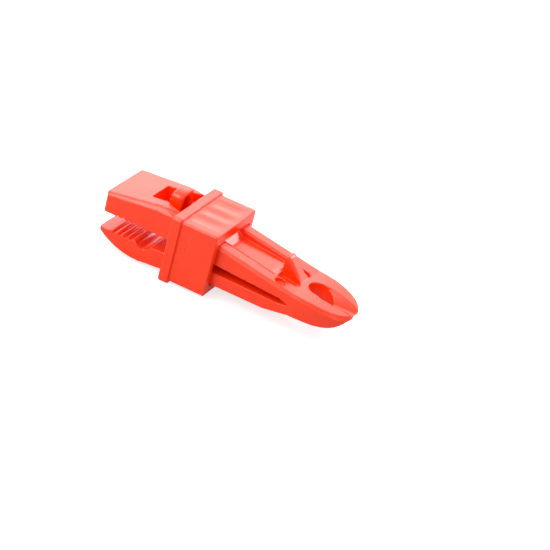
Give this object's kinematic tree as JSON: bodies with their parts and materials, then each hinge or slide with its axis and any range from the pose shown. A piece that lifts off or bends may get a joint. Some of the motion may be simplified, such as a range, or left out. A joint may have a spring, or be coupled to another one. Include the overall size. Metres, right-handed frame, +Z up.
{
  "type": "tarp clip",
  "caption": "Tweezer-shaped plastic tarp clip with toothed jaws, a sliding locking collar, a stop fin and an oblong rope eye in a bow-shaped tail.",
  "frame": {"origin": "centre of the rope eye", "axes": "+X from the jaws to the tail, +Z up from the lower arm to the upper arm, -Y towards the rail with the round mark"},
  "size_m": [0.1122, 0.0386, 0.0336],
  "materials": {
    "moulded_plastic": "smooth moulded gloss, orange-red"
  },
  "bodies": {
    "tail": {"tail_eye": "moulded_plastic"},
    "upper_arm": {"upper_jaw": "moulded_plastic"},
    "lower_arm": {"lower_jaw": "moulded_plastic"},
    "collar": {"locking_collar": "moulded_plastic"}
  },
  "joints": [
    {"name": "collar_slide", "type": "slide", "parent": "tail", "child": "collar", "axis": [1, 0, 0], "range_m": [0, 0.024]},
    {"name": "upper_jaw_flex", "type": "hinge", "parent": "tail", "child": "upper_arm", "pos_m": [-0.0076, 0, 0.0052], "axis": [0, 1, 0], "range_deg": [0, 3.2]},
    {"name": "lower_jaw_flex", "type": "hinge", "parent": "tail", "child": "lower_arm", "pos_m": [-0.0076, 0, -0.0047], "axis": [0, -1, 0], "range_deg": [0, 2.5]}
  ],
  "couplings": [
    {"joint": "upper_jaw_flex", "follows": "collar_slide", "rad_per_m": 2.3},
    {"joint": "lower_jaw_flex", "follows": "collar_slide", "rad_per_m": 1.8}
  ]
}
